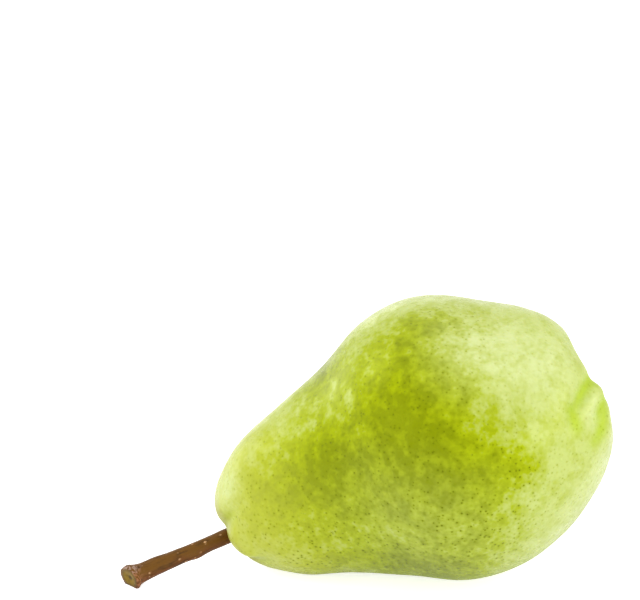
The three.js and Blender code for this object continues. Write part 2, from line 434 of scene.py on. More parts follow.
def tone_of_skin(point):
    """How green, how much in a crease and how pale the skin is there, with painted shade in the
    green and the creases and a painted sheen in the pale.
    """
    green = LEAST_GREEN + bells(point, green_and_shade_patches)
    return green, creasedness(point), min(bells(point, pale_and_sheen_patches), 1.0)


BELLY_AT = 45.0

near_side = tone_of_skin(placed(BELLY_AT, skin_radius(BELLY_AT), -90))
print("green, crease and pale on the near side:", [round(value, 2) for value in near_side])

# %% Make the fruit
UNEVEN_HEIGHT = 0.12
UNEVEN_SIZE = 9.0
SMOOTH_MIDDLE, ROUGH_FROM = 4.0, 14.0
LIP_BUMPS = [
    # along, out, turn, reach, height
    (97.4, 12.2, -74, 2.4, 0.7),
    (95.8, 13.8, -94, 2.6, 0.6),
    (97.0, 12.8, -38, 3.2, 0.5),
    (96.0, 13.6, 150, 3.0, 0.5),
]

fruit_outline = [(max(out, 0.0), along) for along, out in skin_outline]
fruit_outline += [(HOLE_RADIUS, HOLE_FLOOR), (0.0, HOLE_FLOOR)]
fruit_body = spun(fruit_outline, FRUIT_COLUMNS)
lip_bumps = as_bells(LIP_BUMPS)
grown_places, tone_values = [], []
for vertex in fruit_body.verts:
    grown_places.append(vertex.co * MM)
    tone_values.append(tone_of_skin(vertex.co))
    fade = smooth(vertex.co.xz.length, SMOOTH_MIDDLE, ROUGH_FROM)
    uneven = UNEVEN_HEIGHT * fade * noise.noise(vertex.co / UNEVEN_SIZE)
    uneven += bells(vertex.co, lip_bumps)
    vertex.co = laid(grow(swell(vertex.co.copy(), uneven)))
fruit_notes = [("grown", grown_places), ("tone", tone_values)]
fruit = finish_piece("pear_fruit", fruit_body, "fruit", fruit_notes)

# %% [markdown]
# ## The stem
#
# A pear's stem is a woody stalk, a little swollen where it was cut from the twig, with a bud scar
# and small knobs. A curve with a bevel would give an even tube. Here its radii are spun into a
# straight rod first, the knobs are raised on it, its end is slanted as the cut is, and the rod is
# then bent along its middle line, so the thickness and the cut end can be shaped freely.

# %% The stem's middle line and radii
STALK_LINE = [
    (0.0, 90.0, 0.7),
    (-0.1, 94.0, 0.3),
    (-1.7, 99.0, 0.4),
    (-7.2, 111.5, 3.2),
    (-14.4, 128.0, 6.8),
]
STALK_RADIUS = [
    # share of the length, radius
    (0.0, 1.9),
    (0.3, 1.9),
    (0.55, 2.0),
    (0.75, 2.15),
    (0.88, 2.45),
    (0.96, 2.9),
    (1.0, 2.75),
]
STALK_KNOBS = [
    # share of the length, turn, reach, height
    (0.52, 185, 2.2, 0.45),
    (0.3, 10, 3.0, 0.25),
    (0.78, 20, 3.0, 0.3),
    (0.99, 180, 1.9, 0.5),
    (0.98, 10, 2.4, 0.35),
]
CUT_FACE = [
    # distance out, distance past the end
    (1.9, 0.1),
    (1.4, 0.0),
    (1.0, -0.1),
    (0.5, -0.35),
    (0.0, -0.5),
]
MIDDLE_STEPS = 400
CUT_SLANT = math.radians(24)
CUT_SLANT_LENGTH = 4.0
CUT_SHORTENS = 1.1

# The spline needs a point before the first and after the last for its ends to run straight.
before_first = 2 * Vector(STALK_LINE[0]) - Vector(STALK_LINE[1])
after_last = 2 * Vector(STALK_LINE[-1]) - Vector(STALK_LINE[-2])
led_line = [before_first, *map(Vector, STALK_LINE), after_last]
first, last = 1 / (len(led_line) - 1), 1 - 1 / (len(led_line) - 1)
shares = [first + (last - first) * i / MIDDLE_STEPS for i in range(MIDDLE_STEPS + 1)]
middle = [spline(led_line, share) for share in shares]
travelled = [0.0]
for start, end in zip(middle, middle[1:]):
    travelled.append(travelled[-1] + (end - start).length)
stalk_length = travelled[-1]
print("stem", round(stalk_length, 1), "mm long along its middle line")


# %% Bend a straight rod along the line
def at_length(length):
    """The point of the middle line and its direction, that far along it."""
    i = 1
    while i < len(travelled) - 1 and travelled[i] < length:
        i += 1
    start, end = middle[i - 1], middle[i]
    share = (length - travelled[i - 1]) / (travelled[i] - travelled[i - 1])
    return start.lerp(end, share), (end - start).normalized()


def bent(point):
    """Where a point of the straight rod comes to lie on the bent stem."""
    length = min(max(point.y, 0.0), stalk_length)
    centre, forward = at_length(length)
    sideways = forward.cross(Vector((0.0, 0.0, 1.0))).normalized()
    upwards = sideways.cross(forward)
    return centre + forward * (point.y - length) + sideways * point.x + upwards * point.z


free_end = lay_down @ bent(Vector((0.0, stalk_length, 0.0)))
print("the stem's free end, mm:", [round(c, 1) for c in free_end])

# %% Make the stem
STALK_COLUMNS = 72
STALK_ROWS = 180
STALK_THICKNESS = 2.0
BARK_HEIGHT = 0.09
BARK_GRAIN = Vector((1.1, 0.16, 1.1))
BARK_ROUGH, BARK_FINER, BARK_LAYERS = 1.0, 2.0, 3
BARK_FROM, BARK_FULL = 4.0, 9.0

knobs = []
for share, turn, reach, height in STALK_KNOBS:
    knobs.append((placed(share * stalk_length, STALK_THICKNESS, turn), reach, height))
radii = [spline(STALK_RADIUS, row / STALK_ROWS) for row in range(STALK_ROWS + 1)]
stem_outline = [(0.0, 0.0)] + [(radius, share * stalk_length) for share, radius in radii]
stem_outline += [(out, stalk_length + past) for out, past in CUT_FACE]
stem_body = spun(stem_outline, STALK_COLUMNS)
rod_places = []
for vertex in stem_body.verts:
    rod_places.append(vertex.co * MM)
    point = vertex.co.copy()
    rise = bells(point, knobs)
    ridges = noise.fractal(point * BARK_GRAIN, BARK_ROUGH, BARK_FINER, BARK_LAYERS)
    rise += BARK_HEIGHT * ridges * smooth(point.y, BARK_FROM, BARK_FULL)
    point += Vector((point.x, 0.0, point.z)) * rise / STALK_THICKNESS
    near_cut = smooth(point.y, stalk_length - CUT_SLANT_LENGTH, stalk_length)
    point.y += near_cut * (point.x * math.tan(CUT_SLANT) - CUT_SHORTENS)
    vertex.co = laid(bent(point))
stem = finish_piece("pear_stem", stem_body, "stem", [("rod", rod_places)])

# %% [markdown]
# ## The calyx
#
# What is left of the flower is a short dry cup with five sepals that have curled outwards, some
# withered stamens inside it and the stump of the styles. Five leaves set in a ring would show gaps
# at their roots. So it is one spun cup whose wall is pulled out into five points and crinkled a
# little, and the stamens are thin bent rods.

# %% The calyx cup and its sepals
SEPALS = 5
CALYX_SEAT = 5.9
CUP_FLOOR = 0.9
CUP_RADIUS = 2.9
CUP_HEIGHT = 1.6
SEPAL_LENGTH = 4.6
SEPAL_TAPER = 1.15
SEPAL_THICKNESS = 0.65
THINNER_AT_TIP = 0.55
SEPAL_CURL = math.radians(62)
SEPAL_UNEVEN = 0.18
UNEVEN_BEAT, UNEVEN_START = 2.4, 0.7
STYLE_RADIUS = 0.9
STYLE_HEIGHT = 1.7
CALYX_COLUMNS = 160
SEPAL_ROWS = 28
CRINKLE = 0.16
CRINKLES_ROUND, CRINKLES_ALONG = 31.0, 5.0


def cup_wall(share, outer, turn):
    """Distance out and height above the seat of a point of the cup's wall."""
    place = turn / math.tau * SEPALS
    from_sepal = abs(place % 1.0 - 0.5) * 2.0
    uneven = 1.0 + SEPAL_UNEVEN * math.sin(math.floor(place % SEPALS) * UNEVEN_BEAT + UNEVEN_START)
    reach = SEPAL_LENGTH * uneven * (1.0 - from_sepal) ** SEPAL_TAPER
    start = 0.0 if outer else CUP_FLOOR
    travel = start + share * (CUP_HEIGHT + reach - start)
    curl = SEPAL_CURL / SEPAL_LENGTH
    turned = max(travel - CUP_HEIGHT, 0.0) * curl
    offset = SEPAL_THICKNESS * (1.0 - THINNER_AT_TIP * share) if outer else 0.0
    inside = CUP_RADIUS - SEPAL_THICKNESS
    out = inside + (1.0 - math.cos(turned)) / curl + offset * math.cos(turned)
    above = min(travel, CUP_HEIGHT) + math.sin(turned) / curl - offset * math.sin(turned)
    crinkle = CRINKLE * share * math.sin(turn * CRINKLES_ROUND + share * CRINKLES_ALONG)
    return out + crinkle * math.sin(turned), above + crinkle


sepal_tip = cup_wall(1.0, False, math.tau * 0.5 / SEPALS)
print("a sepal's tip is", round(sepal_tip[0], 1), "mm out and", round(sepal_tip[1], 1), "mm up")

# %% Make the calyx
# At first a point has a mark for its Y: SEAT under the cup, on the wall the share of the wall's
# height, plus INSIDE on the inner face, and a mark each for the foot and the top of the styles.
SEAT, INSIDE, STYLE_FOOT, STYLE_TOP = -1.0, 2.0, 5.0, 6.0
SEAT_SHARE, STYLE_TAPER = 0.7, 0.8
STYLE_DRYNESS = 0.4

wall = [row / SEPAL_ROWS for row in range(SEPAL_ROWS + 1)]
cup_outline = [(0.0, SEAT), (CUP_RADIUS * SEAT_SHARE, SEAT)]
cup_outline += [(CUP_RADIUS, share) for share in wall]
cup_outline += [(CUP_RADIUS - SEPAL_THICKNESS, INSIDE + share) for share in reversed(wall)]
cup_outline += [(STYLE_RADIUS, STYLE_FOOT), (STYLE_RADIUS * STYLE_TAPER, STYLE_TOP)]
cup_outline.append((0.0, STYLE_TOP))
calyx_body = spun(cup_outline, CALYX_COLUMNS)
dry_shares = []
for vertex in calyx_body.verts:
    mark, out = round(vertex.co.y, 3), vertex.co.xz.length
    turn = math.atan2(vertex.co.x, vertex.co.z)
    if mark == SEAT:
        above, dryness = 0.0, 0.0
    elif mark >= STYLE_FOOT:
        above, dryness = (CUP_FLOOR if mark == STYLE_FOOT else STYLE_HEIGHT), STYLE_DRYNESS
    else:
        outer = mark < INSIDE
        dryness = vertex.co.y if outer else vertex.co.y - INSIDE
        out, above = cup_wall(dryness, outer, turn)
    dry_shares.append((dryness,) * 3)
    point = Vector((out * math.sin(turn), CALYX_SEAT - above, out * math.cos(turn)))
    vertex.co = laid(grow(point))
bmesh.ops.recalc_face_normals(calyx_body, faces=calyx_body.faces)
calyx = finish_piece("pear_calyx", calyx_body, "calyx", [("dryness", dry_shares)])

# %% The withered stamens
STAMENS = 11
STAMEN_RADIUS = 0.14
STAMEN_LENGTH = 2.6
STAMEN_STAND = 1.35
STAMEN_STEPS = 5
STAMEN_SIDES = 6
STAMEN_SUNK = 0.05
TURN_SWAY, STAND_SWAY, LENGTH_SWAY = 0.35, 0.3, 0.25
LEAN_IN, LEAN_SWAY, SIDE_SWAY = -0.75, 0.25, 0.35
STAMEN_NARROWS, TIP_SWELLS = 0.25, 1.6

# The factors inside the sines only set the stamens out of step with one another.
stamen_body = bmesh.new()
for i in range(STAMENS):
    turn = math.tau * i / STAMENS + TURN_SWAY * math.sin(i * 2.1)
    stand = STAMEN_STAND + STAND_SWAY * math.sin(i * 1.7)
    length = STAMEN_LENGTH * (1.0 - LENGTH_SWAY + LENGTH_SWAY * math.sin(i * 3.3 + 1.0))
    ring = bmesh.ops.create_circle(
        stamen_body, cap_ends=True, radius=STAMEN_RADIUS, segments=STAMEN_SIDES
    )["verts"]
    face = next(iter(ring[0].link_faces))
    levels = [ring]
    for step in range(STAMEN_STEPS):
        pulled = bmesh.ops.extrude_face_region(stamen_body, geom=[face])["geom"]
        ring = [item for item in pulled if isinstance(item, bmesh.types.BMVert)]
        stamen_body.faces.remove(face)
        face = next(item for item in pulled if isinstance(item, bmesh.types.BMFace))
        bmesh.ops.translate(stamen_body, verts=ring, vec=(0.0, 0.0, length / STAMEN_STEPS))
        levels.append(ring)
    for step, level in enumerate(levels):
        share = step / STAMEN_STEPS
        thickness = TIP_SWELLS if step == STAMEN_STEPS else 1.0 - STAMEN_NARROWS * share
        lean = LEAN_IN * share**2 + LEAN_SWAY * share * math.sin(i * 2.7)
        for vertex in level:
            x, y = vertex.co.x * thickness, vertex.co.y * thickness
            out = stand + x + lean
            around = turn + (y + SIDE_SWAY * share * math.cos(i * 1.3)) / stand
            above = CUP_FLOOR - STAMEN_SUNK + vertex.co.z
            point = Vector((out * math.sin(around), CALYX_SEAT - above, out * math.cos(around)))
            vertex.co = laid(grow(point))
bmesh.ops.recalc_face_normals(stamen_body, faces=stamen_body.faces)
stamens = finish_piece("pear_stamens", stamen_body, None)

# %% [markdown]
# ## Building materials in code
#
# A procedural material is a small graph of nodes. They can be placed and linked by hand in the
# shader editor, but code is easier to read again. One helper adds a node and fills its sockets with
# plain values or with links from other nodes, one mixes two colours by a mask, and the others stand
# for the few nodes that are used again and again. From here on lengths are metres, as nodes see
# them.


# %% Node helpers
NOISE_MEAN = 0.5
MOST_OF_A_NOISE = (0.3, 0.7)


def add(tree, kind, inputs=None, **settings):
    """Adds a node; each input is a plain value or another node's output socket."""
    made = tree.nodes.new(kind)
    for name, value in settings.items():
        setattr(made, name, value)
    for name, value in (inputs or {}).items():
        socket = made.inputs[name]
        if isinstance(value, bpy.types.NodeSocket):
            tree.links.new(value, socket)
        else:
            socket.default_value = value
    return made


def mix_colour(tree, mask, under, over, blend="MIX"):
    """Mixes two colours, for which a Mix node has its inputs 6 and 7 and its output 2."""
    values = {0: mask, 6: under, 7: over}
    return add(tree, "ShaderNodeMix", values, data_type="RGBA", blend_type=blend).outputs[2]


def maths(tree, operation, first, second=0.0, third=0.0, clamp=False):
    values = {0: first, 1: second, 2: third}
    return add(tree, "ShaderNodeMath", values, operation=operation, use_clamp=clamp).outputs[0]


def stretched(tree, place, x, y, z):
    """A place with its three directions multiplied, so that a pattern on it is drawn out."""
    made = add(tree, "ShaderNodeVectorMath", {0: place, 1: (x, y, z)}, operation="MULTIPLY")
    return made.outputs[0]


def distance_out(tree, place):
    """How far a place is from its Y axis."""
    across = stretched(tree, place, 1.0, 0.0, 1.0)
    return add(tree, "ShaderNodeVectorMath", {0: across}, operation="LENGTH").outputs["Value"]


def between(tree, value, low, high, start=0.0, end=1.0, ease="SMOOTHSTEP"):
    """Stretches value from low..high to start..end, softly and within those limits."""
    made = add(
        tree,
        "ShaderNodeMapRange",
        {"Value": value, "From Min": low, "From Max": high, "To Min": start, "To Max": end},
        interpolation_type=ease,
    )
    return made.outputs["Result"]


def clouds(tree, place, scale, detail, rough, swirl=0.0):
    """A noise with so many lumps per metre, so many finer layers, their strength and a swirl."""
    look = {"Scale": scale, "Detail": detail, "Roughness": rough, "Distortion": swirl}
    return add(tree, "ShaderNodeTexNoise", {"Vector": place, **look}).outputs["Fac"]


def noted(tree, title):
    """A piece's notes of that title, as a vector and as its three numbers."""
    note = add(tree, "ShaderNodeAttribute", attribute_name=title).outputs["Vector"]
    return note, add(tree, "ShaderNodeSeparateXYZ", {"Vector": note}).outputs


def add_relief(tree, shader, height, distance, strength):
    """Raises the fine relief of a height on a shader's surface."""
    look = {"Height": height, "Distance": distance, "Strength": strength}
    bump = add(tree, "ShaderNodeBump", look)
    tree.links.new(bump.outputs["Normal"], shader.inputs["Normal"])


def new_material(name):
    material = bpy.data.materials.new(name)
    material.use_nodes = True
    return material, material.node_tree, material.node_tree.nodes["Principled BSDF"]


def srgb(red, green, blue):
    """A colour as a paint chart gives it, 0 to 255, turned into the linear light Blender mixes."""
    steps = [c / 255 for c in (red, green, blue)]
    linear = [c / 12.92 if c <= 0.04045 else ((c + 0.055) / 1.055) ** 2.4 for c in steps]
    return (*linear, 1.0)


print("a mid grey of 128 on a paint chart is", round(srgb(128, 128, 128)[0], 3), "in linear light")

# %% [markdown]
# ## Specks
#
# Skin and bark are both dotted with lenticels, the pores a plant breathes through. A Voronoi
# texture scatters points evenly through space, and the surface cuts the balls round those points at
# different heights, so the dots come out in different sizes, as they do on the real skin. Modelled
# dots would be thousands of faces for what is only a stain. Skin and bark share the effect, so it
# is a node group, used in each with values of its own. It gives a small core and the soft halo
# round it.


# %% The group "specks"
CORE_SHARPNESS = 2.5
HALO_FALL_OFF = 1.6


def make_specks():
    group = bpy.data.node_groups.new("specks", "ShaderNodeTree")
    face = group.interface
    face.new_socket("Place", in_out="INPUT", socket_type="NodeSocketVector")
    for name in ("Scale", "Core", "Halo", "Unevenness"):
        face.new_socket(name, in_out="INPUT", socket_type="NodeSocketFloat")
    for name in ("Core mask", "Halo mask"):
        face.new_socket(name, in_out="OUTPUT", socket_type="NodeSocketFloat")
    given = group.nodes.new("NodeGroupInput").outputs
    result = group.nodes.new("NodeGroupOutput").inputs
    points = add(group, "ShaderNodeTexVoronoi", {"Vector": given["Place"], "Scale": given["Scale"]})
    distance = points.outputs["Distance"]
    chance = add(group, "ShaderNodeSeparateXYZ", {"Vector": points.outputs["Color"]}).outputs["X"]
    strength = maths(group, "SUBTRACT", 1.0, maths(group, "MULTIPLY", given["Unevenness"], chance))
    core = between(group, distance, given["Core"], 0.0, ease="LINEAR")
    halo = between(group, distance, given["Halo"], 0.0, ease="LINEAR")
    sharp = maths(group, "MULTIPLY", core, CORE_SHARPNESS, clamp=True)
    soft = maths(group, "POWER", halo, HALO_FALL_OFF)
    group.links.new(maths(group, "MULTIPLY", sharp, strength), result["Core mask"])
    group.links.new(maths(group, "MULTIPLY", soft, strength), result["Halo mask"])
    return group


specks = make_specks()
print("group made:", specks.name)

# %% [markdown]
# ## The skin
#
# The skin of a green pear is a thin coloured layer over pale flesh. Its green is broken up at
# several scales: clouds of about a centimetre, ragged blotches of a few millimetres and a fine
# marbling. A painted texture would hold only as much detail as it has pixels. Noise at each scale
# stays sharp from any distance. The sum of the noises shifts the stored green tone, which also
# carries painted shade, up and down, and the tone chooses the colour between pale, middle and deep
# green. The pale patches, which are partly a painted sheen, are laid over it and mottled by the two
# finer noises.

# %% The colours of the skin
# The deepest green also serves as painted shade on the near side and underneath.
DEEP_GREEN_AND_SHADE = srgb(124, 136, 0)
MID_GREEN = srgb(156, 170, 0)
PALE_GREEN = srgb(184, 196, 113)
STEM_END_YELLOW = srgb(186, 190, 80)
# The crease green is partly the creases' own lime and partly painted shade in them.
CREASE_GREEN_AND_SHADE = srgb(166, 188, 52)
# The ridge pale is partly paler skin and partly a painted sheen.
PALE_SKIN_AND_SHEEN = srgb(200, 210, 146)
RUSSET = srgb(118, 88, 42)
DOT_TINT = (0.6, 0.58, 0.2, 1.0)
HALO_TINT = (0.66, 0.69, 0.15, 1.0)

skin, tree, principled = new_material("pear_skin")
place = add(tree, "ShaderNodeTexCoord").outputs["Object"]
grown, grown_parts = noted(tree, "grown")
green_and_shade_tone, crease_and_shade_tone, pale_and_sheen_tone = noted(tree, "tone")[1]
print("deep green in linear light:", [round(c, 3) for c in DEEP_GREEN_AND_SHADE[:3]])

# %% The clouds, blotches and marbling
CLOUDS = (130.0, 2.0, 0.5)
BLOTCHES = (340.0, 1.5, 0.45)
MARBLING = (760.0, 1.0, 0.5)
DRAWN_ROUND = 0.78
RAGGED = (0.36, 0.64)

drawn_round = stretched(tree, grown, DRAWN_ROUND, 1.0, DRAWN_ROUND)
broad = clouds(tree, place, *CLOUDS)
blotches = clouds(tree, drawn_round, *BLOTCHES)
marbling = clouds(tree, place, *MARBLING)
ragged_blotches = between(tree, blotches, *RAGGED)
ragged_marbling = between(tree, marbling, *RAGGED)
PATTERNS = [
    # pattern, weight
    (broad, 0.85),
    (blotches, 0.5),
    (ragged_blotches, 0.25),
    (marbling, 0.5),
    (ragged_marbling, 0.1),
]

variation = 0.0
for pattern, weight in PATTERNS:
    around_zero = maths(tree, "SUBTRACT", pattern, NOISE_MEAN)
    variation = maths(tree, "ADD", maths(tree, "MULTIPLY", around_zero, weight), variation)
all_weights = sum(weight for _, weight in PATTERNS)
print("the pattern can shift the tone by", round(all_weights * NOISE_MEAN, 2), "up or down")

# %% From tone to colour
MID_TONE, DEEP_TONE = 0.5, 1.1
LIVELY_TONE = 0.7
PALE_LIVELINESS, GREEN_LIVELINESS = 0.45, 0.9
# For each end, how far along the pear from the calyx rim a change starts and is complete.
STEM_END = (0.062, 0.098)
CALYX_END = (0.06, 0.03)
YELLOW_AT_STEM = 0.65
CREASES_AT_STEM, CREASES_AT_CALYX = 0.35, 0.95
PALENESS_AND_SHEEN = 0.7
LESS_PALE_AND_SHEEN_IN_SPOTS = -0.9

liveliness = between(tree, green_and_shade_tone, 0.0, LIVELY_TONE, PALE_LIVELINESS, GREEN_LIVELINESS)
depth = maths(tree, "ADD", green_and_shade_tone, maths(tree, "MULTIPLY", variation, liveliness))
# On the near side and underneath, the deeper green of the patches is partly painted shade.
to_mid = between(tree, depth, 0.0, MID_TONE, ease="LINEAR")
to_deep = between(tree, depth, MID_TONE, DEEP_TONE, ease="LINEAR")
colour = mix_colour(tree, to_mid, PALE_GREEN, MID_GREEN)
colour = mix_colour(tree, to_deep, colour, DEEP_GREEN_AND_SHADE)
towards_stem = between(tree, grown_parts["Y"], *STEM_END, 0.0, YELLOW_AT_STEM)
colour = mix_colour(tree, towards_stem, colour, STEM_END_YELLOW)
# The pale patches lay a painted sheen as well as paler skin, mottled by the finer noises.
fine_pattern = maths(tree, "SUBTRACT", maths(tree, "ADD", blotches, marbling), 2 * NOISE_MEAN)
paleness_and_sheen = maths(tree, "MULTIPLY_ADD", fine_pattern, LESS_PALE_AND_SHEEN_IN_SPOTS, PALENESS_AND_SHEEN, clamp=True)
colour = mix_colour(tree, maths(tree, "MULTIPLY", pale_and_sheen_tone, paleness_and_sheen), colour, PALE_SKIN_AND_SHEEN)
# The lime in the creases also paints the shade that falls in them.
crease_shows = between(tree, grown_parts["Y"], *CALYX_END, CREASES_AT_STEM, CREASES_AT_CALYX)
in_crease = maths(tree, "MULTIPLY", crease_and_shade_tone, crease_shows)
colour = mix_colour(tree, in_crease, colour, CREASE_GREEN_AND_SHADE)
print("nodes up to the plain skin colour:", len(tree.nodes))

# %% [markdown]
# ## Dots, russet and wax
#
# The lenticels of a pear are dark green dots with a softer halo, and they show most where the skin
# is green and on the lower side. Cork, which growers call russet, browns the stem's hollow and the
# calyx basin, where water stays longest. The dots multiply the colour below them, as a thin stain
# would, while the cork covers it. Wax gives the skin a soft gloss. A white reflection seen straight
# on would make the green milky, so the specular tint gives it some of the skin's own colour.

# %% The dots
DOT_LOOK = {"Scale": 840.0, "Core": 0.23, "Halo": 0.62, "Unevenness": 0.7}
DOTTED_TONE = (0.1, 0.4)
PLAIN_IN_PALE, PLAIN_IN_GREEN = 0.35, 1.0
UPPER_TO_LOWER = (0.012, -0.01)
PLAIN_ABOVE, PLAIN_BELOW = 0.7, 1.6

dots = add(tree, "ShaderNodeGroup", {"Place": place, **DOT_LOOK}, node_tree=specks).outputs
by_tone = between(tree, green_and_shade_tone, *DOTTED_TONE, PLAIN_IN_PALE, PLAIN_IN_GREEN)
by_height = between(tree, grown_parts["Z"], *UPPER_TO_LOWER, PLAIN_ABOVE, PLAIN_BELOW)
plainness = maths(tree, "MULTIPLY", by_tone, by_height)
halo = maths(tree, "MULTIPLY", dots["Halo mask"], plainness)
core = maths(tree, "MULTIPLY", dots["Core mask"], plainness)
colour = mix_colour(tree, halo, colour, HALO_TINT, "MULTIPLY")
colour = mix_colour(tree, core, colour, DOT_TINT, "MULTIPLY")
print("a dot's core is up to", round(2 * DOT_LOOK["Core"] / DOT_LOOK["Scale"] / MM, 2), "mm across")

# %% The russet
# In each row the first pair says how far out from the axis the cork starts and is full, and the
# second pair says the same along it.
RUSSET_IN_STEM_HOLLOW = (0.012, 0.006, 0.09, 0.094)
RUSSET_ON_STEM_LIP = (0.018, 0.012, 0.093, 0.097)
RUSSET_IN_CALYX_BASIN = (0.013, 0.007, 0.02, 0.01)
LIP_SHARE = 0.4
RAGGED_BY = 0.006
RAGS = (400.0, 4.0, 0.7)
RUSSET_COVERS = 0.7

unevenly = maths(tree, "MULTIPLY", clouds(tree, place, *RAGS), RAGGED_BY)
ragged_out = maths(tree, "ADD", distance_out(tree, grown), unevenly)


def russet_ring(start, full, along_start, along_full, share=1.0):
    """A ragged disc of cork round one end of the axis."""
    near_axis = between(tree, ragged_out, start, full, 0.0, share)
    at_end = between(tree, grown_parts["Y"], along_start, along_full)
    return maths(tree, "MULTIPLY", near_axis, at_end)


at_stem = russet_ring(*RUSSET_IN_STEM_HOLLOW)
on_lip = russet_ring(*RUSSET_ON_STEM_LIP, LIP_SHARE)
at_calyx = russet_ring(*RUSSET_IN_CALYX_BASIN)
russet = maths(tree, "ADD", maths(tree, "MAXIMUM", at_stem, on_lip), at_calyx, clamp=True)
colour = mix_colour(tree, maths(tree, "MULTIPLY", russet, RUSSET_COVERS), colour, RUSSET)
tree.links.new(colour, principled.inputs["Base Color"])
print("nodes up to the russet:", len(tree.nodes))

# %% The wax and the fine relief
WAX_ROUGHNESS = (0.24, 0.32)
CORK_ROUGHER_BY = 0.3
WAX_IOR = 1.4
WAX_TINT = (0.9, 1.0, 0.05, 1.0)
LIGHT_ENTERS_FLESH = 0.12
LIGHT_REACHES = (0.003, 0.002, 0.0006)
RELIEF_HEIGHT, RELIEF_STRENGTH = 0.00012, 0.5
MARBLING_SHARE, BLOTCH_SHARE, PORE_SHARE = 0.8, 1.4, -0.6

wax = between(tree, blotches, *MOST_OF_A_NOISE, *WAX_ROUGHNESS)
rougher = maths(tree, "MULTIPLY", russet, CORK_ROUGHER_BY)
tree.links.new(maths(tree, "ADD", wax, rougher), principled.inputs["Roughness"])
principled.inputs["IOR"].default_value = WAX_IOR
principled.inputs["Specular Tint"].default_value = WAX_TINT
principled.inputs["Subsurface Weight"].default_value = LIGHT_ENTERS_FLESH
principled.inputs["Subsurface Radius"].default_value = LIGHT_REACHES
principled.inputs["Subsurface Scale"].default_value = 1.0

pores = maths(tree, "MULTIPLY", dots["Core mask"], PORE_SHARE)
fine = maths(tree, "MULTIPLY", marbling, MARBLING_SHARE)
texture = maths(tree, "ADD", fine, maths(tree, "MULTIPLY", blotches, BLOTCH_SHARE))
height = maths(tree, "ADD", texture, pores)
add_relief(tree, principled, height, RELIEF_HEIGHT, RELIEF_STRENGTH)
fruit.data.materials.append(skin)
print("skin material:", len(tree.nodes), "nodes")

# %% [markdown]
# ## The bark
#
# The bark of a pear stem is smooth and brown, golden along its upper side and redder below, with
# dark streaks along it and a few pale specks. All of that follows the stem's own length, so the
# material reads the place that each vertex had in the straight rod, before it was bent. An Object
# coordinate would cut the streaks straight across the bend. The swollen end is scaly, greyest on
# its upper edge, and the cut face shows olive wood round a darker pith.

# %% The colours of the stem
BARK_RED = srgb(96, 50, 14)
BARK_GOLD = srgb(96, 58, 2)
BARK_DARK = srgb(54, 28, 2)
BARK_SPECK = srgb(214, 168, 124)
SCALY_GREY = srgb(158, 132, 120)
SCALY_PINK = srgb(170, 112, 78)
WOOD_OLIVE = srgb(124, 98, 8)
WOOD_RIM = srgb(98, 76, 30)
PITH = srgb(66, 50, 8)

bark, tree, principled = new_material("pear_bark")
rod, rod_parts = noted(tree, "rod")
print("red bark in linear light:", [round(c, 3) for c in BARK_RED[:3]])

# %% The bark with its streaks and specks
STREAKS = (800.0, 4.0, 0.6)
PATCHES = (300.0, 3.0, 0.6)
CRUMBS = (1500.0, 3.0, 0.6)
DRAWN_OUT, SPECKS_DRAWN_OUT = 0.2, 0.7
RED_BELOW, GOLD_ABOVE, PATCHES_SHIFT_BY = 0.0008, 0.0032, 0.004
DARK_STREAKS = (0.52, 0.34, 0.0, 0.85)
CRUMBLY_SPECKS = (0.4, 0.6, 0.3, 1.0)
SPECK_LOOK = {"Scale": 600.0, "Core": 0.2, "Halo": 0.3, "Unevenness": 0.7}

streaks = clouds(tree, stretched(tree, rod, 1.0, DRAWN_OUT, 1.0), *STREAKS)
patches = clouds(tree, rod, *PATCHES)
crumbs = clouds(tree, rod, *CRUMBS)
upper = maths(tree, "ADD", maths(tree, "MULTIPLY", patches, PATCHES_SHIFT_BY), rod_parts["Z"])
colour = mix_colour(tree, between(tree, upper, RED_BELOW, GOLD_ABOVE), BARK_RED, BARK_GOLD)
colour = mix_colour(tree, between(tree, streaks, *DARK_STREAKS), colour, BARK_DARK)
longish = stretched(tree, rod, 1.0, SPECKS_DRAWN_OUT, 1.0)
bark_dots = add(tree, "ShaderNodeGroup", {"Place": longish, **SPECK_LOOK}, node_tree=specks).outputs
crumbly = between(tree, crumbs, *CRUMBLY_SPECKS)
speck = maths(tree, "MULTIPLY", bark_dots["Core mask"], crumbly)
colour = mix_colour(tree, speck, colour, BARK_SPECK)
print("nodes up to the specks:", len(tree.nodes))

# %% The scaly flare and the cut face
STALK_FLARE = 0.86
END_STARTS, END_FULL = 0.97, 0.99
SCALES = (0.46, 0.58)
SCALES_COVER = 0.6
TOP_EDGE = (0.001, 0.0026)
BARK_INSIDE, WOOD_OUTSIDE = 0.0025, 0.0021
WOOD_INNER, WOOD_RIM_AT = 0.0012, 0.0022
DARK_CRUMBS = (0.55, 0.4, 0.0, 0.35)
PITH_OUTSIDE, PITH_FULL = 0.0007, 0.0003

length_m = stalk_length * MM
flare = between(tree, rod_parts["Y"], length_m * STALK_FLARE, length_m * END_STARTS)
scales = maths(tree, "MULTIPLY", flare, between(tree, crumbs, *SCALES))
colour = mix_colour(tree, maths(tree, "MULTIPLY", scales, SCALES_COVER), colour, SCALY_PINK)
on_top = maths(tree, "MULTIPLY", scales, between(tree, rod_parts["Z"], *TOP_EDGE))
colour = mix_colour(tree, on_top, colour, SCALY_GREY)

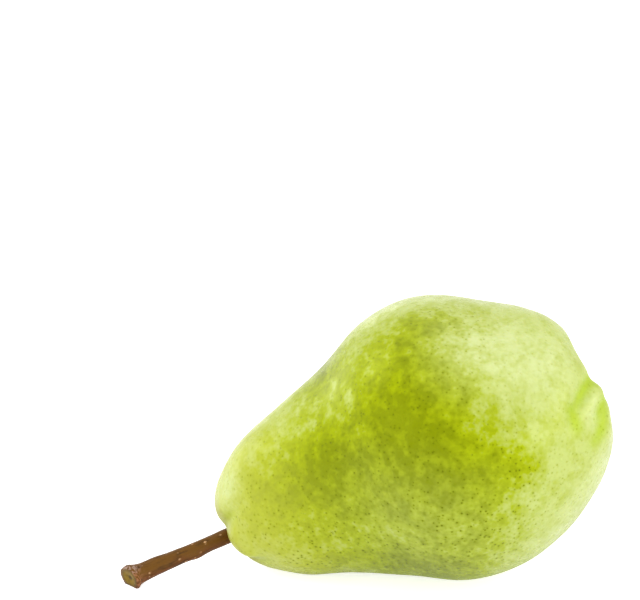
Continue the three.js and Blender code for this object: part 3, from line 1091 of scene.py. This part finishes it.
out = distance_out(tree, rod)
at_end = between(tree, rod_parts["Y"], length_m * END_STARTS, length_m * END_FULL)
end_face = maths(tree, "MULTIPLY", between(tree, out, BARK_INSIDE, WOOD_OUTSIDE), at_end)
wood = mix_colour(tree, between(tree, out, WOOD_INNER, WOOD_RIM_AT), WOOD_OLIVE, WOOD_RIM)
wood = mix_colour(tree, between(tree, crumbs, *DARK_CRUMBS), wood, PITH)
wood = mix_colour(tree, between(tree, out, PITH_OUTSIDE, PITH_FULL), wood, PITH)
colour = mix_colour(tree, end_face, colour, wood)
tree.links.new(colour, principled.inputs["Base Color"])
print("the flare starts", round((1.0 - STALK_FLARE) * stalk_length, 1), "mm before the end")

# %% The gloss and relief of the bark
BARK_ROUGHNESS = (0.6, 0.42)
BARK_TINT = (1.0, 0.75, 0.4, 1.0)
BARK_RELIEF, BARK_RELIEF_STRENGTH = 0.00025, 0.7
CRUMB_SHARE = 0.5

rough = between(tree, streaks, *MOST_OF_A_NOISE, *BARK_ROUGHNESS)
tree.links.new(rough, principled.inputs["Roughness"])
# The warm tint keeps reflections from greying the brown.
principled.inputs["Specular Tint"].default_value = BARK_TINT
height = maths(tree, "ADD", streaks, maths(tree, "MULTIPLY", crumbs, CRUMB_SHARE))
add_relief(tree, principled, height, BARK_RELIEF, BARK_RELIEF_STRENGTH)
stem.data.materials.append(bark)
print("bark material:", len(tree.nodes), "nodes")

# %% [markdown]
# ## The dried calyx
#
# The calyx is dead tissue: dark brown, rough and palest towards the sepals' thin tips. A painted
# texture would be wasted on so small a piece. One cloudy noise gives both the mottling and the
# crumbled relief, and the height up each sepal, stored with its vertices as its dryness, gives the
# pale tips. The stamens inside it wear the same material.

# %% The calyx's material
DRY_DARK = srgb(46, 34, 24)
DRY_BROWN = srgb(98, 74, 48)
DRY_TIP = srgb(150, 122, 84)
DRY_CLOUDS = (900.0, 4.0, 0.7, 0.5)
DARK_TO_BROWN = (0.35, 0.62)
TIP_FROM, TIP_SHARE = 0.6, 0.7
DRY_ROUGHNESS = 0.85
DRY_RELIEF, DRY_RELIEF_STRENGTH = 0.0003, 0.8

dry, tree, principled = new_material("pear_dry_calyx")
place = add(tree, "ShaderNodeTexCoord").outputs["Object"]
dry_clouds = clouds(tree, place, *DRY_CLOUDS)
dryness = add(tree, "ShaderNodeAttribute", attribute_name="dryness").outputs["Fac"]
colour = mix_colour(tree, between(tree, dry_clouds, *DARK_TO_BROWN), DRY_DARK, DRY_BROWN)
colour = mix_colour(tree, between(tree, dryness, TIP_FROM, 1.0, 0.0, TIP_SHARE), colour, DRY_TIP)
tree.links.new(colour, principled.inputs["Base Color"])
principled.inputs["Roughness"].default_value = DRY_ROUGHNESS
add_relief(tree, principled, dry_clouds, DRY_RELIEF, DRY_RELIEF_STRENGTH)
calyx.data.materials.append(dry)
stamens.data.materials.append(dry)
print("calyx material:", len(tree.nodes), "nodes")

# %% [markdown]
# ## The floor
#
# Fruit is usually shown on a white sweep, a sheet that curves up behind it. A large flat sheet does
# as well here, because the room behind it is just as white. It isn't part of the pear. It glows a
# little, as paper under strong light does, and more so towards the camera, so the shadow round the
# pear stays faint.

# %% A sheet of white paper
FLOOR_REACH = 6.0
PAPER_WHITE = (0.9, 0.9, 0.9, 1.0)
PAPER_ROUGHNESS = 0.8
WHITE = (1.0, 1.0, 1.0, 1.0)
PAPER_GLOW, EXTRA_FOR_CAMERA = 0.1, 0.6

floor_body = bmesh.new()
bmesh.ops.create_grid(floor_body, x_segments=2, y_segments=2, size=FLOOR_REACH)
floor_mesh = bpy.data.meshes.new("floor")
floor_body.to_mesh(floor_mesh)
floor_body.free()
floor = bpy.data.objects.new("floor", floor_mesh)
bpy.context.scene.collection.objects.link(floor)
paper, tree, principled = new_material("paper_white")
principled.inputs["Base Color"].default_value = PAPER_WHITE
principled.inputs["Roughness"].default_value = PAPER_ROUGHNESS
principled.inputs["Emission Color"].default_value = WHITE
seen = add(tree, "ShaderNodeLightPath").outputs["Is Camera Ray"]
glow = maths(tree, "MULTIPLY_ADD", seen, EXTRA_FOR_CAMERA, PAPER_GLOW)
tree.links.new(glow, principled.inputs["Emission Strength"])
floor.data.materials.append(paper)
print("floor:", 2 * FLOOR_REACH, "m square")

# %% [markdown]
# ## The light
#
# A glossy fruit shows what stands round it, so it is lit by a bright white room first, which leaves
# no hard shadow anywhere. Wide soft lights then model it: low ones on the right and a tall one on
# the left draw the broad pale sheens, one high in front fills the near side, and a low card and a
# narrow strip behind brighten the upper rim. A dome that holds a whole studio would do the same,
# but single lights can be moved and weighed one at a time. They face the pear and stay unseen.

# %% The white room
# The camera sees the room pure white, and the pear is lit by a little less.
ROOM_LIGHT, ROOM_SEEN = 0.88, 1.0

world = bpy.data.worlds.new("studio")
world.use_nodes = True
backdrop = world.node_tree.nodes["Background"]
backdrop.inputs["Color"].default_value = WHITE
seen = add(world.node_tree, "ShaderNodeLightPath").outputs["Is Camera Ray"]
room = between(world.node_tree, seen, 0.0, 1.0, ROOM_LIGHT, ROOM_SEEN, ease="LINEAR")
world.node_tree.links.new(room, backdrop.inputs["Strength"])
bpy.context.scene.world = world
bpy.context.scene.view_settings.view_transform = "Standard"
print("room light", ROOM_LIGHT, "and as seen by the camera", ROOM_SEEN)

# %% The soft lights
SOFT_LIGHTS = [
    # name, azimuth (0 behind the pear, 90 on its right), elevation, distance, width, height, watts
    ("soft_box_high_front", -170, 70, 1.0, 0.8, 0.5, 1.35),
    ("soft_box_right", 85, 47, 0.95, 0.85, 0.5, 0.5),
    ("soft_box_low_right", 112, 25, 0.95, 0.6, 0.4, 1.4),
    ("card_right", 130, 10, 1.1, 0.7, 0.35, 2.3),
    ("soft_box_left", -75, 40, 0.95, 0.5, 0.4, 2.2),
    ("strip_left", -60, 8, 0.9, 0.5, 0.25, 0.9),
    ("soft_box_front_left", -125, 30, 0.95, 0.5, 0.4, 1.3),
    ("card_behind", 8, 8, 1.1, 1.2, 0.3, 0.4),
    ("strip_behind_left", -16, 5, 1.0, 0.22, 0.12, 0.14),
]
LIT_POINT = Vector((-0.01, 0.0, 0.035))


def soft_light(name, azimuth, elevation, distance, width, height, watts):
    """A rectangle of light that faces the pear and that the camera doesn't see."""
    data = bpy.data.lights.new(name, "AREA")
    data.shape = "RECTANGLE"
    data.size, data.size_y, data.energy = width, height, watts
    light = bpy.data.objects.new(name, data)
    turn, rise = math.radians(azimuth), math.radians(elevation)
    level = math.cos(rise)
    away = Vector((math.sin(turn) * level, math.cos(turn) * level, math.sin(rise)))
    light.location = away * distance + LIT_POINT
    light.rotation_euler = away.to_track_quat("Z", "Y").to_euler()
    light.visible_camera = False
    bpy.context.scene.collection.objects.link(light)


for row in SOFT_LIGHTS:
    soft_light(*row)
watts_in_all = sum(row[-1] for row in SOFT_LIGHTS)
print(len(SOFT_LIGHTS), "soft lights,", round(watts_in_all, 2), "watts in all")

# %% [markdown]
# ## The camera
#
# A long lens from far off keeps the pear's proportions true, as a shop's catalogue would have it.
# A short lens close by would swell the near side. The camera looks down by 24 degrees, so both the
# top of the pear and the line where it meets the floor show.

# %% A long lens
LENS = 171.9
SENSOR_WIDTH = 36.0
LOOKS_DOWN = math.radians(24)
CAMERA_PLACE = (-0.0358, -0.7023, 0.3872)
FARTHEST_SEEN = 20.0

camera_data = bpy.data.cameras.new("camera")
camera_data.lens = LENS
camera_data.sensor_width = SENSOR_WIDTH
camera_data.clip_end = FARTHEST_SEEN
camera = bpy.data.objects.new("camera", camera_data)
camera.location = CAMERA_PLACE
camera.rotation_euler = (math.radians(90) - LOOKS_DOWN, 0.0, 0.0)
bpy.context.scene.collection.objects.link(camera)
bpy.context.scene.camera = camera
print("the camera is", round(camera.location.length, 2), "m away")
